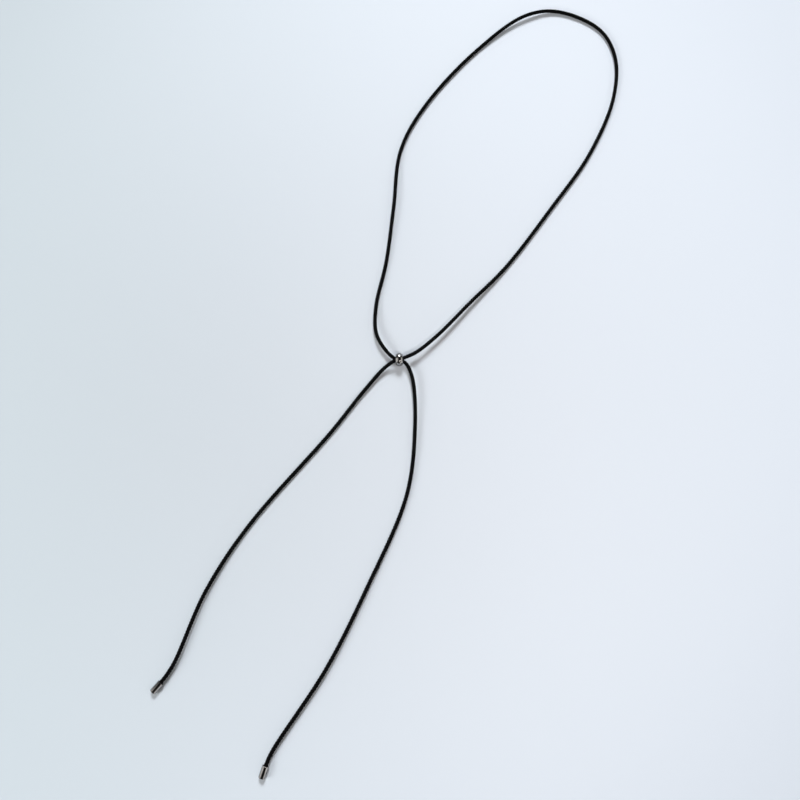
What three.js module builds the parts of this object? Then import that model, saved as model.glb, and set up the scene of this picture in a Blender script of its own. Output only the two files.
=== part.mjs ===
// A slider necklace of one braided cord, laid out on a table.
// The cord makes a long neck loop. Its two ends cross through a steel slider bead,
// run on as two free tails, and end in steel tube caps.
// Millimetres, +Z up. The origin is on the table under the middle of the bead,
// +X runs along the bead's hole and +Y from the bead towards the loop.
import * as THREE from "three";

// Cord
const cordDiameter = 2.5;
const cordSides = 8;
const stepsPerStretch = 2;

// Slider bead
const beadDiameter = 8.8;
const beadLength = 4.7;
const beadCrownLength = 1; // the straight band round the middle of the bead
const beadFaceDiameter = 6.8; // outer diameter of the flat rim round each mouth of the bore
const beadBoreDiameter = 6.4;
const beadSides = 16;

// End caps
const capDiameter = 4.1;
const capLength = 7.5;
const capBoreDiameter = 3.3;
const capBoreDepth = 5.5;
const capEdge = 0.3; // width of the chamfer on the closed end
const capSides = 12;
const capEndGap = 0.4; // between the cord's end and the floor of the cap's bore

// The gap kept between the two strands inside the bead
const strandGap = 0.1;

const cordLying = cordDiameter / 2;
const beadHeight = beadDiameter / 2;
const capHeight = capDiameter / 2;
const capLift = capHeight - cordLying;
const strandOffset = (cordDiameter + strandGap) / 2;
const crossingShift = 0.7; // how far each strand is off the bead's axis at the two faces

// The cord's route, each point as x, y and the lift of the cord off the table.
// The caps sit on the first two and the last two points.
const leftTail = [
  [-152, -211, capLift],
  [-149, -207.5, capLift],
  [-141.5, -196.5, 1.3],
  [-123.5, -152, 1],
  [-98.5, -111.5, 0],
  [-45, -48.5, 0],
  [-24.5, -22, 0.5],
  [-10, -5.5, 2],
];
const loop = [
  [11.5, 5, 4.3],
  [26.5, 17.5, 3.7],
  [48.5, 40.5, 2.4],
  [74, 67, 0.1],
  [106.5, 110, 0],
  [136, 152.5, 0],
  [155.5, 197.5, 0],
  [158, 230.5, 0],
  [147.5, 252.5, 0],
  [117.5, 267, 0.2],
  [93, 262.5, 1.6],
  [57, 235, 0],
  [18, 189, 0],
  [1, 155, 0],
  [-4, 111, 1.1],
  [-9, 71, 0],
  [-16, 38, 0.3],
  [-15.5, 18.5, 1.9],
  [-8.5, 6, 2.2],
];
const rightTail = [
  [5.2, -3.3, 1.9],
  [9, -13.5, 2.1],
  [10.5, -45, 1.1],
  [5, -90, 0],
  [-20.5, -149.5, 0.6],
  [-46, -199.5, 0.9],
  [-78, -247.5, 0.7],
  [-81.8, -256, capLift],
  [-83.3, -260.5, capLift],
];

const cordFinish = new THREE.MeshStandardMaterial({ color: 0x0c0c0d, roughness: 0.8, metalness: 0 });
const steelFinish = new THREE.MeshStandardMaterial({ color: 0xa4a3a2, roughness: 0.12, metalness: 1 });

// The corner radius of a regular polygon whose flat sides touch a circle of the given diameter.
function cornerRadius(diameter, sides) {
  return diameter / 2 / Math.cos(Math.PI / sides);
}

// The two points where a strand crosses the bead's faces. The upper strand rises towards the loop
// from left to right, and the lower strand comes down from the loop under it.
function crossing(side) {
  const lift = beadHeight + side * strandOffset - cordLying;
  return [
    [-beadLength / 2, -side * crossingShift, lift],
    [beadLength / 2, side * crossingShift, lift],
  ];
}

// A smooth line through the route's points that never sinks below the lying height.
// Every stretch between two points takes the same number of steps, so they are short where it bends.
class CordLine extends THREE.CatmullRomCurve3 {
  getPoint(t, target) {
    const point = super.getPoint(t, target);
    point.z = Math.max(point.z, cordLying);
    return point;
  }
  getPointAt(t, target) {
    return this.getPoint(t, target);
  }
  getTangentAt(t, target) {
    return this.getTangent(t, target);
  }
  // Level frames keep one flat side of the cord facing down all the way.
  computeFrenetFrames(steps) {
    const up = new THREE.Vector3(0, 0, 1);
    const frames = { tangents: [], normals: [], binormals: [] };
    for (let i = 0; i <= steps; i += 1) {
      const tangent = this.getTangentAt(i / steps);
      const binormal = new THREE.Vector3().crossVectors(tangent, up).normalize();
      frames.tangents.push(tangent);
      frames.normals.push(new THREE.Vector3().crossVectors(binormal, tangent));
      frames.binormals.push(binormal);
    }
    return frames;
  }
}

function makeCord(route) {
  const corner = cornerRadius(cordDiameter, cordSides);
  const corners = [];
  for (let i = 0; i < cordSides; i += 1) {
    const angle = ((i + 0.5) / cordSides) * 2 * Math.PI;
    corners.push(new THREE.Vector2(corner * Math.cos(angle), corner * Math.sin(angle)));
  }
  const section = new THREE.Shape(corners);
  const geometry = new THREE.ExtrudeGeometry(section, {
    steps: stepsPerStretch * (route.length - 1),
    extrudePath: new CordLine(route),
  });
  const cord = new THREE.Mesh(geometry, cordFinish);
  cord.name = "cord";
  return cord;
}

// Turns a closed profile, given as diameter and height along the axis, about its axis.
// One flat side of the result faces down once the axis lies level.
function turned(profile, sides) {
  const outline = profile.map(([diameter, height]) => {
    return new THREE.Vector2(cornerRadius(diameter, sides), height);
  });
  return new THREE.LatheGeometry(outline, sides, Math.PI / sides, 2 * Math.PI);
}

// Turns a lathe's upright axis level, towards a heading seen from above.
function layAlong(mesh, heading) {
  mesh.rotation.z = heading - Math.PI / 2;
}

// A drilled bead: a straight band round the middle, and sides that slope in to a narrow flat rim.
function makeBead() {
  const half = beadLength / 2;
  const crownHalf = beadCrownLength / 2;
  const profile = [
    [beadBoreDiameter, -half],
    [beadFaceDiameter, -half],
    [beadDiameter, -crownHalf],
    [beadDiameter, crownHalf],
    [beadFaceDiameter, half],
    [beadBoreDiameter, half],
    [beadBoreDiameter, -half],
  ];
  const bead = new THREE.Mesh(turned(profile, beadSides), steelFinish);
  bead.name = "slider_bead";
  bead.position.set(0, 0, beadHeight);
  layAlong(bead, 0);
  return bead;
}

// A tube cap over the cord's end: closed and chamfered outside, with a blind bore for the cord.
function makeCap(name, end, mouth) {
  const profile = [
    [0, 0],
    [capDiameter - 2 * capEdge, 0],
    [capDiameter, capEdge],
    [capDiameter, capLength],
    [capBoreDiameter, capLength],
    [capBoreDiameter, capLength - capBoreDepth],
    [0, capLength - capBoreDepth],
  ];
  const cap = new THREE.Mesh(turned(profile, capSides), steelFinish);
  const inwards = mouth.clone().sub(end).normalize();
  const closedEnd = capLength - capBoreDepth + capEndGap;
  cap.name = name;
  cap.position.copy(end).addScaledVector(inwards, -closedEnd);
  layAlong(cap, Math.atan2(inwards.y, inwards.x));
  return cap;
}

const upperStrand = 1;
const lowerStrand = -1;
const stretches = [leftTail, crossing(upperStrand), loop, crossing(lowerStrand), rightTail];
const route = stretches.flat().map(([x, y, lift]) => new THREE.Vector3(x, y, cordLying + lift));

const necklace = new THREE.Group();
necklace.add(
  makeCord(route),
  makeBead(),
  makeCap("end_cap_left", route[0], route[1]),
  makeCap("end_cap_right", route.at(-1), route.at(-2)),
);

export default necklace;
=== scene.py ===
import math

import bmesh
import bpy
import numpy as np
from mathutils import Matrix, Vector


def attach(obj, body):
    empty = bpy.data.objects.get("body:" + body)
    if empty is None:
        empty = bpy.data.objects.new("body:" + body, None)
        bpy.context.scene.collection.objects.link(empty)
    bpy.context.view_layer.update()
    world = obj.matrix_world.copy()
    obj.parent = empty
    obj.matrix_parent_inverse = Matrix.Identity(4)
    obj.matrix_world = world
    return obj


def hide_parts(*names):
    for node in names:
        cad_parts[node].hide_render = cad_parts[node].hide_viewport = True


# A slider necklace of one black braided cord, lying open on a pale table.
# Metres, +Z up. The origin is on the table under the middle of the bead,
# +X runs along the bead's hole and +Y from the bead towards the neck loop.

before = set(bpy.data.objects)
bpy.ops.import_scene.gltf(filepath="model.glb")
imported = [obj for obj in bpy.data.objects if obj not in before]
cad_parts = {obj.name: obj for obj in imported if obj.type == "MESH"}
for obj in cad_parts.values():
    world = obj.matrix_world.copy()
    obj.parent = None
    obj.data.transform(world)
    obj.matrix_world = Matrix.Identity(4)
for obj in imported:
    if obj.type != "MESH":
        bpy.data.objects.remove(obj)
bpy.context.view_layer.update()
print("frame: nodes", ", ".join(sorted(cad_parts)))


# Camera

cameraSetup = {
    "location": (0.0005, -0.1341, 0.5277),
    "tilt": 11.5,  # degrees off straight down, towards the loop
    "angle": 53.0,  # degrees across the square picture
    "clip": (0.01, 50.0),
}


def addCamera():
    data = bpy.data.cameras.new("camera")
    data.angle = math.radians(cameraSetup["angle"])
    data.clip_start, data.clip_end = cameraSetup["clip"]
    camera = bpy.data.objects.new("camera", data)
    camera.location = cameraSetup["location"]
    camera.rotation_euler = (math.radians(cameraSetup["tilt"]), 0, 0)
    bpy.context.scene.collection.objects.link(camera)
    bpy.context.scene.camera = camera


addCamera()
print("camera placed")


# Small helpers for pieces and shader nodes

noiseSpan = (0.3, 0.7)  # where most of a noise's values lie
mixSockets = {"first": 6, "second": 7, "result": 2}  # the colour sockets of a mix node


def addPiece(name, mesh, material, node):
    piece = bpy.data.objects.new(name, mesh)
    bpy.context.scene.collection.objects.link(piece)
    mesh.materials.append(material)
    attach(piece, "root")
    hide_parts(node)
    return piece


def newMaterial(name):
    material = bpy.data.materials.new(name)
    material.use_nodes = True
    tree = material.node_tree
    return material, tree, tree.nodes["Principled BSDF"]


def addNode(tree, kind, inputs, **options):
    node = tree.nodes.new(kind)
    for name, value in options.items():
        setattr(node, name, value)
    for name, value in inputs.items():
        if isinstance(value, bpy.types.NodeSocket):
            tree.links.new(value, node.inputs[name])
        else:
            node.inputs[name].default_value = value
    return node


def addNoise(tree, place, scale, detail, dimensions="3D"):
    settings = {"Vector": place, "Scale": scale, "Detail": detail}
    return addNode(tree, "ShaderNodeTexNoise", settings, noise_dimensions=dimensions).outputs["Fac"]


def addRamp(tree, factor, stops):
    ramp = addNode(tree, "ShaderNodeValToRGB", {"Fac": factor})
    points = ramp.color_ramp.elements
    for place, _ in stops[1:-1]:
        points.new(place)
    for point, (place, colour) in zip(points, stops):
        point.position = place
        point.color = (*colour, 1)
    return ramp.outputs["Color"]


# A value that runs from one end to the other while the input runs over a span.
def addRange(tree, value, span, ends, easing="LINEAR"):
    limits = {"Value": value, "From Min": span[0], "From Max": span[1], "To Min": ends[0], "To Max": ends[1]}
    return addNode(tree, "ShaderNodeMapRange", limits, interpolation_type=easing).outputs["Result"]


def addRelief(tree, height, relief):
    settings = {"Height": height, "Strength": relief["strength"], "Distance": relief["depth"]}
    return addNode(tree, "ShaderNodeBump", settings).outputs["Normal"]


# Braided cord

cordSetup = {
    "diameter": 0.0025,
    "overStrands": 0.00274,  # the diameter over the strands that stand out most
    "strands": 8,  # half of them wind to the left, half to the right
    "lay": 0.0078,  # cord length of one full turn of a strand
    "step": 0.00053,  # between two rings of a strand
    "strandWidth": 0.00120,
    "strandThickness": 0.00062,
    "strandRise": 0.00030,  # how far a strand swings out and in where it passes over and under
    "swing": 1.25,  # above 1, the swing is cut off flat at its top and bottom
    "startTurn": -0.0625,  # where the first strand of each hand begins, in full turns round the cord
    "coreDiameter": 0.0011,
    "coreSides": 6,
    "coreStep": 0.002,
    "routeSteps": 60,  # from one point of the route to the next
    "pathPoints": 601,  # along the middle of the cord, from end to end
    "yarn": {
        "fibres": 9,  # fine lines round a strand
        "fibreLength": 0.0016,
        "fibreDetail": 3,
        "colours": [(0.35, (0.0012, 0.0012, 0.0013)), (0.68, (0.0034, 0.0034, 0.0037))],
        "roughness": (0.7, 0.45),
        "specular": 0.06,
        "relief": {"strength": 0.6, "depth": 0.00005},
    },
}

# A strand's section in halves of its width and thickness, from one edge over the top and back below.
strandSection = np.array([(1, -0.2), (0.48, 0.96), (-0.48, 0.96), (-1, -0.2), (0, -0.9)])

# x, y and the lift of the cord off the table, from the left cap to the right one
cordRoute = [
    (-0.152, -0.211, 0.0008),
    (-0.149, -0.2075, 0.0008),
    (-0.1415, -0.1965, 0.0013),
    (-0.1235, -0.152, 0.001),
    (-0.0985, -0.1115, 0),
    (-0.045, -0.0485, 0),
    (-0.0245, -0.022, 0.0005),
    (-0.01, -0.0055, 0.002),
    (-0.00235, -0.0007, 0.00445),
    (0.00235, 0.0007, 0.00445),
    (0.0115, 0.005, 0.0043),
    (0.0265, 0.0175, 0.0037),
    (0.0485, 0.0405, 0.0024),
    (0.074, 0.067, 0.0001),
    (0.1065, 0.11, 0),
    (0.136, 0.1525, 0),
    (0.1555, 0.1975, 0),
    (0.158, 0.2305, 0),
    (0.1475, 0.2525, 0),
    (0.1175, 0.267, 0.0002),
    (0.093, 0.2625, 0.0016),
    (0.057, 0.235, 0),
    (0.018, 0.189, 0),
    (0.001, 0.155, 0),
    (-0.004, 0.111, 0.0011),
    (-0.009, 0.071, 0),
    (-0.016, 0.038, 0.0003),
    (-0.0155, 0.0185, 0.0019),
    (-0.0085, 0.006, 0.0022),
    (-0.00235, 0.0007, 0.00185),
    (0.00235, -0.0007, 0.00185),
    (0.0052, -0.0033, 0.0019),
    (0.009, -0.0135, 0.0021),
    (0.0105, -0.045, 0.0011),
    (0.005, -0.09, 0),
    (-0.0205, -0.1495, 0.0006),
    (-0.046, -0.1995, 0.0009),
    (-0.078, -0.2475, 0.0007),
    (-0.0818, -0.256, 0.0008),
    (-0.0833, -0.2605, 0.0008),
]


# A centripetal curve through the points, never below the lying height.
def smoothLine(points, lowest):
    points = np.concatenate([[2 * points[0] - points[1]], points, [2 * points[-1] - points[-2]]])
    t = np.linspace(0, 1, cordSetup["routeSteps"], endpoint=False)[:, None]
    line = []
    for a, b, c, d in zip(points, points[1:], points[2:], points[3:]):
        before, along, after = (math.sqrt(np.linalg.norm(q - p)) for p, q in ((a, b), (b, c), (c, d)))
        leave = ((b - a) / before - (c - a) / (before + along) + (c - b) / along) * along
        arrive = ((c - b) / along - (d - b) / (along + after) + (d - c) / after) * along
        bend = 3 * (c - b) - 2 * leave - arrive
        turn = 2 * (b - c) + leave + arrive
        line.append(b + leave * t + bend * t ** 2 + turn * t ** 3)
    line = np.concatenate(line + [points[-2:-1]])
    line[:, 2] = np.maximum(line[:, 2], lowest)
    return line


# The distance of each point of a line from its start.
def distances(line):
    steps = np.linalg.norm(np.diff(line, axis=0), axis=1)
    return np.concatenate([[0], np.cumsum(steps)])


# Values given along the line, read at the wanted distances.
def pickAlong(values, along, wanted):
    return np.stack([np.interp(wanted, along, part) for part in values.T], axis=-1)


# Sideways and upward directions all along the line. The cord lies nearly level, so up stays up.
def levelFrames(line):
    tangents = np.gradient(line, axis=0)
    side = np.cross(tangents, (0, 0, 1))
    side /= np.linalg.norm(side, axis=1)[:, None]
    up = np.cross(side, tangents)
    up /= np.linalg.norm(up, axis=1)[:, None]
    return side, up


# One strand of the braid as rings of points: angle round the cord, radius and distance along the cord.
# It passes over two strands of the other hand and then under two. Its swing is widest between the two.
def strandRings(along, number):
    half = cordSetup["strands"] // 2
    hand = 1 if number < half else -1
    place = number % half
    crossings = along * cordSetup["strands"] / cordSetup["lay"]
    over = hand * (crossings - 1) + 2 * place + 0.5
    wave = np.clip(cordSetup["swing"] * np.cos(over * math.pi / 2), -1, 1)
    outer = cordSetup["overStrands"] / 2
    middle = outer - cordSetup["strandThickness"] / 2 - cordSetup["strandRise"]
    radius = middle + cordSetup["strandRise"] * wave
    slant = math.atan(2 * math.pi * middle / cordSetup["lay"])
    turns = hand * along / cordSetup["lay"] + place / half + cordSetup["startTurn"]
    across = strandSection[:, 0] * cordSetup["strandWidth"] / 2
    height = strandSection[:, 1] * cordSetup["strandThickness"] / 2
    angles = 2 * math.pi * turns[:, None] + across * math.cos(slant) / middle
    places = along[:, None] - hand * across * math.sin(slant)
    return angles, radius[:, None] + height, places


# The thin core that fills the middle of the braid, as rings like those of a strand.
def coreRings(along):
    angle = np.linspace(0, 2 * math.pi, cordSetup["coreSides"], endpoint=False)[::-1]
    angles, places = np.meshgrid(angle, along)
    return angles, np.full_like(angles, cordSetup["coreDiameter"] / 2), places


# The skin of a tube of rings: its walls, its ends, and how far round and along it each wall corner is.
# A wall face is split in two from its first corner, so that corner differs for the two hands of strands.
def tubeSkin(along, sides, first, turn):
    ring, side = np.meshgrid(np.arange(len(along) - 1), np.arange(sides), indexing="ij")
    start = first + ring * sides
    beside = (side + 1) % sides
    walls = np.stack([start + side, start + beside, start + sides + beside, start + sides + side], axis=-1)
    around = np.stack([side, side + 1, side + 1, side], axis=-1) / sides
    lengthwise = np.stack([along[ring], along[ring], along[ring + 1], along[ring + 1]], axis=-1)
    corners = np.stack([around, lengthwise], axis=-1)
    walls, corners = np.roll(walls, turn, axis=2), np.roll(corners, turn, axis=2)
    ends = [np.arange(sides)[::-1] + first, np.arange(sides) + first + (len(along) - 1) * sides]
    return walls.reshape(-1, 4), ends, corners.reshape(-1, 2)


def evenSteps(length, step):
    return np.linspace(0, length, round(length / step) + 1)


def makeCord():
    lying = cordSetup["overStrands"] / 2
    line = smoothLine(np.array(cordRoute) + (0, 0, lying), lying)
    lineAlong = distances(line)
    side, up = levelFrames(line)
    length = lineAlong[-1]
    strandAlong = evenSteps(length, cordSetup["step"])
    coreAlong = evenSteps(length, cordSetup["coreStep"])
    tubes = [(coreAlong, coreRings(coreAlong), 0)]
    for number in range(cordSetup["strands"]):
        turn = 2 * number // cordSetup["strands"]
        tubes.append((strandAlong, strandRings(strandAlong, number), turn))

    points, walls, ends, corners = [], [], [], []
    count = 0
    for along, (angles, radii, places), turn in tubes:
        places = np.clip(places, 0, length)
        outward = pickAlong(side, lineAlong, places) * np.cos(angles)[..., None]
        outward += pickAlong(up, lineAlong, places) * np.sin(angles)[..., None]
        rings = pickAlong(line, lineAlong, places) + outward * radii[..., None]
        tubeWalls, tubeEnds, tubeCorners = tubeSkin(along, angles.shape[1], count, turn)
        points.append(rings.reshape(-1, 3))
        walls.append(tubeWalls)
        ends.extend(tubeEnds)
        corners.append(tubeCorners)
        count += angles.size

    mesh = bpy.data.meshes.new("braided_cord")
    faces = np.concatenate(walls).tolist() + [end.tolist() for end in ends]
    mesh.from_pydata(np.concatenate(points).tolist(), [], faces)
    mesh.shade_smooth()
    strandMap = mesh.uv_layers.new(name="strand")
    corners.append(np.zeros((sum(len(end) for end in ends), 2)))
    strandMap.data.foreach_set("uv", np.concatenate(corners).ravel())
    return mesh, line, length


# Near-black yarn with fine fibre lines along each strand and a faint waxed sheen.
def cordMaterial():
    yarn = cordSetup["yarn"]
    material, tree, shader = newMaterial("black braid")
    place = addNode(tree, "ShaderNodeUVMap", {}, uv_map="strand").outputs["UV"]
    stretch = {"Vector": place, "Scale": (yarn["fibres"], 1 / yarn["fibreLength"], 1)}
    fibrePlace = addNode(tree, "ShaderNodeMapping", stretch).outputs["Vector"]
    fibres = addNoise(tree, fibrePlace, 1, yarn["fibreDetail"], "2D")
    roughness = addRange(tree, fibres, noiseSpan, yarn["roughness"])
    tree.links.new(addRamp(tree, fibres, yarn["colours"]), shader.inputs["Base Color"])
    tree.links.new(roughness, shader.inputs["Roughness"])
    tree.links.new(addRelief(tree, fibres, yarn["relief"]), shader.inputs["Normal"])
    shader.inputs["Specular IOR Level"].default_value = yarn["specular"]
    return material


cordMesh, cordLine, cordLength = makeCord()
cord = addPiece("braided_cord", cordMesh, cordMaterial(), "cord")
print("cord: length", round(cordLength, 4), "faces", len(cordMesh.polygons))


# Polished steel, with fine lines from turning that run round the piece's axis

steelSetup = {
    "lineSpacing": 0.00014,
    "lineLength": 0.0033,
    "lineDetail": 2,
    "patch": 0.0011,  # size of the darker and paler patches
    "patchDetail": 3,
    "colours": [(0.3, (0.33, 0.325, 0.32)), (0.7, (0.41, 0.405, 0.40))],
    "edgeTint": (0.0, 0.0, 0.0),  # darker where the surface turns away
    "roughness": (0.05, 0.12),
    "relief": {"strength": 0.25, "depth": 0.000004},
}


def steelMaterial(name, middle, heading):
    material, tree, shader = newMaterial(name)
    place = addNode(tree, "ShaderNodeTexCoord", {}).outputs["Object"]
    axis = {"Vector": place, "Location": middle, "Rotation": (0, 0, heading)}
    local = addNode(tree, "ShaderNodeMapping", axis, vector_type="TEXTURE").outputs["Vector"]
    acrossLines, alongLines = 1 / steelSetup["lineSpacing"], 1 / steelSetup["lineLength"]
    squeeze = {"Vector": local, "Scale": (acrossLines, alongLines, alongLines)}
    linePlace = addNode(tree, "ShaderNodeMapping", squeeze).outputs["Vector"]
    lines = addNoise(tree, linePlace, 1, steelSetup["lineDetail"])
    patches = addNoise(tree, local, 1 / steelSetup["patch"], steelSetup["patchDetail"])
    roughness = addRange(tree, lines, noiseSpan, steelSetup["roughness"])
    tree.links.new(addRamp(tree, patches, steelSetup["colours"]), shader.inputs["Base Color"])
    tree.links.new(roughness, shader.inputs["Roughness"])
    tree.links.new(addRelief(tree, lines, steelSetup["relief"]), shader.inputs["Normal"])
    shader.inputs["Metallic"].default_value = 1
    shader.inputs["Specular Tint"].default_value = (*steelSetup["edgeTint"], 1)
    return material


weldDistance = 1e-7  # joins the seam of a full turn and the points on the axis


# Turns an outline of (distance along the axis, radius) corners, with some of them rounded, about the X axis.
def spinOutline(corners, rounding, steps):
    shell = bmesh.new()
    points = [shell.verts.new((along, 0, radius)) for along, radius in corners]
    shell.faces.new(points)
    for corner, offset, segments in rounding:
        bmesh.ops.bevel(
            shell, geom=[points[corner]], offset=offset, segments=segments, profile=0.5,
            affect="VERTICES", material=-1,
        )
    bmesh.ops.delete(shell, geom=shell.faces[:], context="FACES_ONLY")
    bmesh.ops.spin(
        shell, geom=shell.verts[:] + shell.edges[:], cent=(0, 0, 0), axis=(1, 0, 0), dvec=(0, 0, 0),
        angle=2 * math.pi, steps=steps, use_merge=True, use_duplicate=False,
    )
    bmesh.ops.remove_doubles(shell, verts=shell.verts[:], dist=weldDistance)
    loose = [edge for edge in shell.edges if edge.is_wire]
    bmesh.ops.delete(shell, geom=loose, context="EDGES")
    bmesh.ops.recalc_face_normals(shell, faces=shell.faces[:])
    return shell


def finishShell(shell, name, heading, place):
    move = Matrix.Translation(place) @ Matrix.Rotation(heading, 4, "Z")
    bmesh.ops.transform(shell, matrix=move, verts=shell.verts[:])
    mesh = bpy.data.meshes.new(name)
    shell.to_mesh(mesh)
    shell.free()
    mesh.shade_smooth()
    return mesh


# Slider bead: a straight band, sides that curve in to a narrow rim, a straight bore for the two strands

beadSetup = {
    "halfLength": 0.00235,
    "crownHalf": 0.0005,  # half the length of the straight band
    "crownRadius": 0.0044,
    "faceRadius": 0.0034,  # outside of the rim round each mouth
    "boreRadius": 0.0032,
    "shoulder": (0.00155, 0.00402),  # where the slope swells out most, along the axis and out from it
    "crownRound": (0.0002, 8),  # each rounding's size and segments
    "shoulderRound": (0.0006, 8),
    "rimRound": (0.00009, 4),
    "steps": 96,
}


# The outline's corners run from the left mouth over the band to the right mouth.
def makeBead():
    half, crown = beadSetup["halfLength"], beadSetup["crownHalf"]
    face, bore = beadSetup["faceRadius"], beadSetup["boreRadius"]
    top = beadSetup["crownRadius"]
    rightHalf = [(crown, top), beadSetup["shoulder"], (half, face), (half, bore)]
    corners = [(-along, radius) for along, radius in reversed(rightHalf)] + rightHalf
    rounded = {"crownRound": (3, 4), "shoulderRound": (2, 5), "rimRound": (0, 1, 6, 7)}
    rounding = [(corner, *beadSetup[name]) for name, group in rounded.items() for corner in group]
    shell = spinOutline(corners, rounding, beadSetup["steps"])
    return finishShell(shell, "steel_slider_bead", 0, (0, 0, top))


beadSteel = steelMaterial("bead steel", (0, 0, beadSetup["crownRadius"]), 0)
bead = addPiece("steel_slider_bead", makeBead(), beadSteel, "slider_bead")
print("bead: faces", len(bead.data.polygons))


# End caps: plain tubes, closed and rounded at the outer end, with the cord's end inside

capSetup = {
    "radius": 0.00205,
    "length": 0.0075,
    "boreRadius": 0.00165,
    "boreDepth": 0.0055,
    "endGap": 0.0004,  # between the cord's end and the floor of the bore
    "endRound": (0.0004, 6),  # each rounding's size and segments
    "lipRound": (0.00009, 4),
    "steps": 64,
}


def makeCap(name, heading, place):
    radius, length, bore = capSetup["radius"], capSetup["length"], capSetup["boreRadius"]
    floor = length - capSetup["boreDepth"]
    corners = [(0, 0), (0, radius), (length, radius), (length, bore), (floor, bore), (floor, 0)]
    rounding = [(1, *capSetup["endRound"]), (2, *capSetup["lipRound"]), (3, *capSetup["lipRound"])]
    return finishShell(spinOutline(corners, rounding, capSetup["steps"]), name, heading, place)


def addCap(sideName, end, mouth):
    name = "steel_cap_" + sideName
    inwards = (Vector(mouth) - Vector(end)).normalized()
    closed = Vector(end) - inwards * (capSetup["length"] - capSetup["boreDepth"] + capSetup["endGap"])
    place = (closed.x, closed.y, capSetup["radius"])
    heading = math.atan2(inwards.y, inwards.x)
    steel = steelMaterial(sideName + " cap steel", place, heading)
    cap = addPiece(name, makeCap(name, heading, place), steel, "end_cap_" + sideName)
    print(name + ": faces", len(cap.data.polygons))
    return cap


caps = [addCap("left", cordRoute[0], cordRoute[1]), addCap("right", cordRoute[-1], cordRoute[-2])]


# Table and light

# The table's colour carries painted light and shade: it runs from darker to paler along one way, standing in
# for light that falls unevenly across it.
tableSetup = {
    "size": 12.0,
    "colours": [(0.0, (0.554, 0.607, 0.639)), (1.0, (0.806, 0.843, 0.916))],
    "heading": (1.0, -0.012, 0),  # the way in which the painted shading turns paler, standing in for uneven light
    "span": (-0.446, 0.145),  # where along that way it begins and ends to turn
    "patch": {"middle": (-0.027, -0.05, 0), "radius": 0.387, "dim": 0.779},  # a round patch of painted shade that dims the near lamp's pool of light
    "grain": 260.0,  # per metre
    "grainDetail": 4,
    "roughness": (0.55, 0.65),
    "specular": 0.2,
}


def tableMaterial():
    material, tree, shader = newMaterial("pale table")
    place = addNode(tree, "ShaderNodeTexCoord", {}).outputs["Object"]
    heading = {0: place, 1: tableSetup["heading"]}
    onward = addNode(tree, "ShaderNodeVectorMath", heading, operation="DOT_PRODUCT").outputs["Value"]
    # Painted shade: how far the table has turned along the way from the darker colour to the paler one.
    paintedShade = addRange(tree, onward, tableSetup["span"], (0, 1), "SMOOTHSTEP")
    # Painted shade: the colour is dimmed in a round patch where the near right lamp throws a pool of light.
    patch = tableSetup["patch"]
    apart = {0: place, 1: patch["middle"]}
    away = addNode(tree, "ShaderNodeVectorMath", apart, operation="DISTANCE").outputs["Value"]
    paintedDimming = addRange(tree, away, (0, patch["radius"]), (patch["dim"], 1), "SMOOTHSTEP")
    paintedDimmed = {0: addRamp(tree, paintedShade, tableSetup["colours"]), "Scale": paintedDimming}
    colour = addNode(tree, "ShaderNodeVectorMath", paintedDimmed, operation="SCALE").outputs["Vector"]
    grain = addNoise(tree, place, tableSetup["grain"], tableSetup["grainDetail"])
    roughness = addRange(tree, grain, noiseSpan, tableSetup["roughness"])
    tree.links.new(colour, shader.inputs["Base Color"])
    tree.links.new(roughness, shader.inputs["Roughness"])
    shader.inputs["Specular IOR Level"].default_value = tableSetup["specular"]
    return material


def addTable():
    plate = bmesh.new()
    bmesh.ops.create_grid(plate, x_segments=1, y_segments=1, size=tableSetup["size"] / 2)
    mesh = bpy.data.meshes.new("table")
    plate.to_mesh(mesh)
    plate.free()
    mesh.materials.append(tableMaterial())
    table = bpy.data.objects.new("table", mesh)
    bpy.context.scene.collection.objects.link(table)


# A wide, cool light beyond the loop, a soft one to the left and a small warm lamp at the near right.
# The pale pane shows only in reflections. Spreads are in degrees.
lightSetup = {
    "window": {
        "at": (0.25, 4.4, 4.1), "size": 1.9, "spread": 180.0,
        "power": 346.0, "colour": (0.93, 0.975, 1.0), "lights": True, "mirrored": False,
    },
    "left lamp": {
        "at": (-0.95, -0.45, 0.62), "size": 0.4, "spread": 180.0,
        "power": 5.5, "colour": (0.95, 1.0, 1.0), "lights": True, "mirrored": False,
    },
    "right lamp": {
        "at": (0.17, -0.335, 0.65), "size": 0.115, "spread": 60.0,
        "power": 0.16, "colour": (1.0, 0.94, 0.88), "lights": True, "mirrored": True,
    },
    "pale pane": {
        "at": (0.1, 4.48, 2.22), "size": 3.6, "spread": 180.0,
        "power": 200.0, "colour": (0.95, 0.98, 1.0), "lights": False, "mirrored": True,
    },
}


def addLights():
    for name, light in lightSetup.items():
        data = bpy.data.lights.new(name, "AREA")
        data.shape = "DISK"
        data.size = light["size"]
        data.energy = light["power"]
        data.spread = math.radians(light["spread"])
        data.color = light["colour"]
        lamp = bpy.data.objects.new(name, data)
        lamp.location = light["at"]
        lamp.rotation_euler = (-Vector(light["at"])).to_track_quat("-Z", "Y").to_euler()
        lamp.visible_camera = False
        lamp.visible_diffuse = light["lights"]
        lamp.visible_glossy = light["mirrored"]
        bpy.context.scene.collection.objects.link(lamp)


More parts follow.
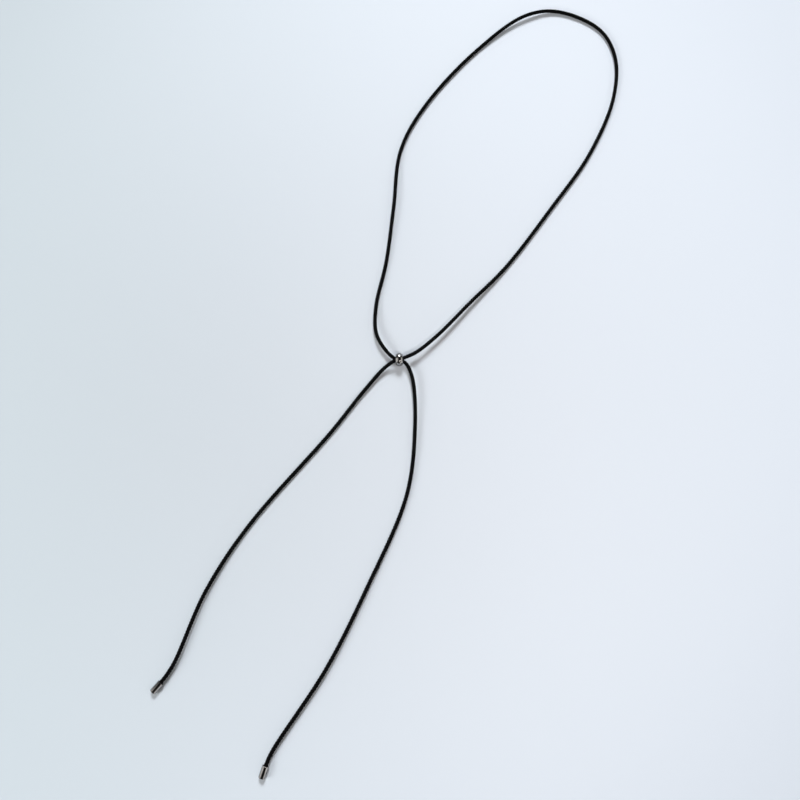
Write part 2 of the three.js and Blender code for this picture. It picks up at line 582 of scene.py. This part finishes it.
# A dim room, dark overhead. Added to it are a pale wall to the left, a faint patch high beside that wall,
# a low pale wall at the near right, and a bright band on the wall to the right.
# Levels run by height, from 0 at the horizon to 1 overhead. Azimuths are in degrees from +X.
# A wall fades in between two cosines of the angle from its middle.
worldSetup = {
    "tone": (1.0, 0.97, 0.94),
    "room": [(0.0, 0.07), (0.55, 0.05), (0.70, 0.006)],
    "walls": {
        "left": {
            "azimuth": 190.0, "edge": (0.82, 0.94),
            "levels": [
                (0.0, 0.85), (0.42, 1.0), (0.58, 1.0), (0.66, 0.5), (0.78, 0.33), (0.90, 0.06), (0.96, 0.0),
            ],
        },
        "high": {
            "azimuth": 160.0, "edge": (0.87, 0.97),
            "levels": [(0.40, 0.0), (0.5, 0.25), (0.8, 0.25), (0.92, 0.0)],
        },
        "low": {
            "azimuth": 313.0, "edge": (0.85, 0.95),
            "levels": [(0.0, 1.05), (0.26, 0.95), (0.5, 0.4), (0.6, 0.16), (0.72, 0.0)],
        },
        "right": {
            "azimuth": 0.0, "edge": (0.77, 0.94),
            "levels": [(0.0, 0.10), (0.30, 0.14), (0.39, 1.05), (0.60, 1.05), (0.68, 0.0)],
        },
    },
}


def toned(levels):
    return [(place, [level * part for part in worldSetup["tone"]]) for place, level in levels]


def addWall(tree, behind, heading, height, wall):
    azimuth = math.radians(wall["azimuth"])
    turned = {0: heading, 1: (math.cos(azimuth), math.sin(azimuth), 0)}
    facing = addNode(tree, "ShaderNodeVectorMath", turned, operation="DOT_PRODUCT").outputs["Value"]
    share = addRange(tree, facing, wall["edge"], (0, 1), "SMOOTHSTEP")
    levels = addRamp(tree, height, toned(wall["levels"]))
    colours = {"Factor": share, mixSockets["first"]: behind, mixSockets["second"]: levels}
    mix = addNode(tree, "ShaderNodeMix", colours, data_type="RGBA", blend_type="ADD")
    return mix.outputs[mixSockets["result"]]


def addWorld():
    world = bpy.data.worlds.new("room")
    bpy.context.scene.world = world
    world.use_nodes = True
    tree = world.node_tree
    direction = addNode(tree, "ShaderNodeTexCoord", {}).outputs["Generated"]
    height = addNode(tree, "ShaderNodeSeparateXYZ", {"Vector": direction}).outputs["Z"]
    level = addNode(tree, "ShaderNodeVectorMath", {0: direction, 1: (1, 1, 0)}, operation="MULTIPLY")
    heading = addNode(tree, "ShaderNodeVectorMath", {0: level.outputs["Vector"]}, operation="NORMALIZE")
    colour = addRamp(tree, height, toned(worldSetup["room"]))
    for wall in worldSetup["walls"].values():
        colour = addWall(tree, colour, heading.outputs["Vector"], height, wall)
    tree.links.new(colour, tree.nodes["Background"].inputs["Color"])


addTable()
addLights()
addWorld()
bpy.context.scene.view_settings.view_transform = "Standard"
print("table and lights set")
